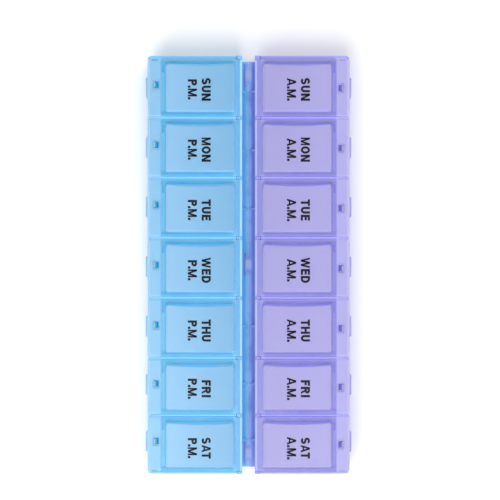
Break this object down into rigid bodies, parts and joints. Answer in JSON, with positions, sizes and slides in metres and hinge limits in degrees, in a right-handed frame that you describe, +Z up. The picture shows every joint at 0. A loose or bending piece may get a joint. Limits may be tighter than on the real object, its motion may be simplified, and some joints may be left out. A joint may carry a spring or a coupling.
{
  "type": "locking pill organizer",
  "caption": "Weekly pill organizer of two joined rows, evening and morning, with raised-panel hinged lids that latch and open by a push button in front of each compartment.",
  "frame": {"origin": "centre of the footprint, on the surface that the organizer stands on", "axes": "+X along the week from Sunday to Saturday, +Y to the morning row, +Z up"},
  "size_m": [0.2354, 0.1166, 0.0304],
  "materials": {
    "pm_tray": "satin",
    "pm_lid": "satin",
    "pm_button": "satin",
    "am_tray": "satin",
    "am_lid": "satin",
    "am_button": "satin"
  },
  "bodies": {
    "pm_tray": {"pm_tray_sun": "pm_tray", "pm_tray_mon": "pm_tray", "pm_tray_tue": "pm_tray", "pm_tray_wed": "pm_tray", "pm_tray_thu": "pm_tray", "pm_tray_fri": "pm_tray", "pm_tray_sat": "pm_tray"},
    "pm_lid_sun": {"pm_lid_sun": "pm_lid"},
    "pm_button_sun": {"pm_button_sun": "pm_button"},
    "pm_lid_mon": {"pm_lid_mon": "pm_lid"},
    "pm_button_mon": {"pm_button_mon": "pm_button"},
    "pm_lid_tue": {"pm_lid_tue": "pm_lid"},
    "pm_button_tue": {"pm_button_tue": "pm_button"},
    "pm_lid_wed": {"pm_lid_wed": "pm_lid"},
    "pm_button_wed": {"pm_button_wed": "pm_button"},
    "pm_lid_thu": {"pm_lid_thu": "pm_lid"},
    "pm_button_thu": {"pm_button_thu": "pm_button"},
    "pm_lid_fri": {"pm_lid_fri": "pm_lid"},
    "pm_button_fri": {"pm_button_fri": "pm_button"},
    "pm_lid_sat": {"pm_lid_sat": "pm_lid"},
    "pm_button_sat": {"pm_button_sat": "pm_button"},
    "am_tray": {"am_tray_sun": "am_tray", "am_tray_mon": "am_tray", "am_tray_tue": "am_tray", "am_tray_wed": "am_tray", "am_tray_thu": "am_tray", "am_tray_fri": "am_tray", "am_tray_sat": "am_tray"},
    "am_lid_sun": {"am_lid_sun": "am_lid"},
    "am_button_sun": {"am_button_sun": "am_button"},
    "am_lid_mon": {"am_lid_mon": "am_lid"},
    "am_button_mon": {"am_button_mon": "am_button"},
    "am_lid_tue": {"am_lid_tue": "am_lid"},
    "am_button_tue": {"am_button_tue": "am_button"},
    "am_lid_wed": {"am_lid_wed": "am_lid"},
    "am_button_wed": {"am_button_wed": "am_button"},
    "am_lid_thu": {"am_lid_thu": "am_lid"},
    "am_button_thu": {"am_button_thu": "am_button"},
    "am_lid_fri": {"am_lid_fri": "am_lid"},
    "am_button_fri": {"am_button_fri": "am_button"},
    "am_lid_sat": {"am_lid_sat": "am_lid"},
    "am_button_sat": {"am_button_sat": "am_button"}
  },
  "joints": [
    {"name": "pm_lid_sun_hinge", "type": "hinge", "parent": "pm_tray", "child": "pm_lid_sun", "pos_m": [-0.09955, -0.0051, 0.0256], "axis": [-1, 0, 0], "range_deg": [0, 90]},
    {"name": "pm_button_sun_press", "type": "slide", "parent": "pm_tray", "child": "pm_button_sun", "axis": [0, 1, 0], "range_m": [0, 0.001], "stiffness_N_per_m": 900, "springref_m": -0.0006},
    {"name": "pm_lid_mon_hinge", "type": "hinge", "parent": "pm_tray", "child": "pm_lid_mon", "pos_m": [-0.06575, -0.0051, 0.0256], "axis": [-1, 0, 0], "range_deg": [0, 90]},
    {"name": "pm_button_mon_press", "type": "slide", "parent": "pm_tray", "child": "pm_button_mon", "axis": [0, 1, 0], "range_m": [0, 0.001], "stiffness_N_per_m": 900, "springref_m": -0.0006},
    {"name": "pm_lid_tue_hinge", "type": "hinge", "parent": "pm_tray", "child": "pm_lid_tue", "pos_m": [-0.03195, -0.0051, 0.0256], "axis": [-1, 0, 0], "range_deg": [0, 90]},
    {"name": "pm_button_tue_press", "type": "slide", "parent": "pm_tray", "child": "pm_button_tue", "axis": [0, 1, 0], "range_m": [0, 0.001], "stiffness_N_per_m": 900, "springref_m": -0.0006},
    {"name": "pm_lid_wed_hinge", "type": "hinge", "parent": "pm_tray", "child": "pm_lid_wed", "pos_m": [0.00185, -0.0051, 0.0256], "axis": [-1, 0, 0], "range_deg": [0, 90]},
    {"name": "pm_button_wed_press", "type": "slide", "parent": "pm_tray", "child": "pm_button_wed", "axis": [0, 1, 0], "range_m": [0, 0.001], "stiffness_N_per_m": 900, "springref_m": -0.0006},
    {"name": "pm_lid_thu_hinge", "type": "hinge", "parent": "pm_tray", "child": "pm_lid_thu", "pos_m": [0.03565, -0.0051, 0.0256], "axis": [-1, 0, 0], "range_deg": [0, 90]},
    {"name": "pm_button_thu_press", "type": "slide", "parent": "pm_tray", "child": "pm_button_thu", "axis": [0, 1, 0], "range_m": [0, 0.001], "stiffness_N_per_m": 900, "springref_m": -0.0006},
    {"name": "pm_lid_fri_hinge", "type": "hinge", "parent": "pm_tray", "child": "pm_lid_fri", "pos_m": [0.0687, -0.0051, 0.0256], "axis": [-1, 0, 0], "range_deg": [0, 90]},
    {"name": "pm_button_fri_press", "type": "slide", "parent": "pm_tray", "child": "pm_button_fri", "axis": [0, 1, 0], "range_m": [0, 0.001], "stiffness_N_per_m": 900, "springref_m": -0.0006},
    {"name": "pm_lid_sat_hinge", "type": "hinge", "parent": "pm_tray", "child": "pm_lid_sat", "pos_m": [0.101, -0.0051, 0.0256], "axis": [-1, 0, 0], "range_deg": [0, 90]},
    {"name": "pm_button_sat_press", "type": "slide", "parent": "pm_tray", "child": "pm_button_sat", "axis": [0, 1, 0], "range_m": [0, 0.001], "stiffness_N_per_m": 900, "springref_m": -0.0006},
    {"name": "am_tray_lift", "type": "slide", "parent": "pm_tray", "child": "am_tray", "axis": [0, 0, 1], "range_m": [0, 0.02]},
    {"name": "am_lid_sun_hinge", "type": "hinge", "parent": "am_tray", "child": "am_lid_sun", "pos_m": [-0.09955, 0.0051, 0.0256], "axis": [1, 0, 0], "range_deg": [0, 90]},
    {"name": "am_button_sun_press", "type": "slide", "parent": "am_tray", "child": "am_button_sun", "axis": [0, -1, 0], "range_m": [0, 0.001], "stiffness_N_per_m": 900, "springref_m": -0.0006},
    {"name": "am_lid_mon_hinge", "type": "hinge", "parent": "am_tray", "child": "am_lid_mon", "pos_m": [-0.06575, 0.0051, 0.0256], "axis": [1, 0, 0], "range_deg": [0, 90]},
    {"name": "am_button_mon_press", "type": "slide", "parent": "am_tray", "child": "am_button_mon", "axis": [0, -1, 0], "range_m": [0, 0.001], "stiffness_N_per_m": 900, "springref_m": -0.0006},
    {"name": "am_lid_tue_hinge", "type": "hinge", "parent": "am_tray", "child": "am_lid_tue", "pos_m": [-0.03195, 0.0051, 0.0256], "axis": [1, 0, 0], "range_deg": [0, 90]},
    {"name": "am_button_tue_press", "type": "slide", "parent": "am_tray", "child": "am_button_tue", "axis": [0, -1, 0], "range_m": [0, 0.001], "stiffness_N_per_m": 900, "springref_m": -0.0006},
    {"name": "am_lid_wed_hinge", "type": "hinge", "parent": "am_tray", "child": "am_lid_wed", "pos_m": [0.00185, 0.0051, 0.0256], "axis": [1, 0, 0], "range_deg": [0, 90]},
    {"name": "am_button_wed_press", "type": "slide", "parent": "am_tray", "child": "am_button_wed", "axis": [0, -1, 0], "range_m": [0, 0.001], "stiffness_N_per_m": 900, "springref_m": -0.0006},
    {"name": "am_lid_thu_hinge", "type": "hinge", "parent": "am_tray", "child": "am_lid_thu", "pos_m": [0.03565, 0.0051, 0.0256], "axis": [1, 0, 0], "range_deg": [0, 90]},
    {"name": "am_button_thu_press", "type": "slide", "parent": "am_tray", "child": "am_button_thu", "axis": [0, -1, 0], "range_m": [0, 0.001], "stiffness_N_per_m": 900, "springref_m": -0.0006},
    {"name": "am_lid_fri_hinge", "type": "hinge", "parent": "am_tray", "child": "am_lid_fri", "pos_m": [0.0687, 0.0051, 0.0256], "axis": [1, 0, 0], "range_deg": [0, 90]},
    {"name": "am_button_fri_press", "type": "slide", "parent": "am_tray", "child": "am_button_fri", "axis": [0, -1, 0], "range_m": [0, 0.001], "stiffness_N_per_m": 900, "springref_m": -0.0006},
    {"name": "am_lid_sat_hinge", "type": "hinge", "parent": "am_tray", "child": "am_lid_sat", "pos_m": [0.101, 0.0051, 0.0256], "axis": [1, 0, 0], "range_deg": [0, 90]},
    {"name": "am_button_sat_press", "type": "slide", "parent": "am_tray", "child": "am_button_sat", "axis": [0, -1, 0], "range_m": [0, 0.001], "stiffness_N_per_m": 900, "springref_m": -0.0006}
  ]
}
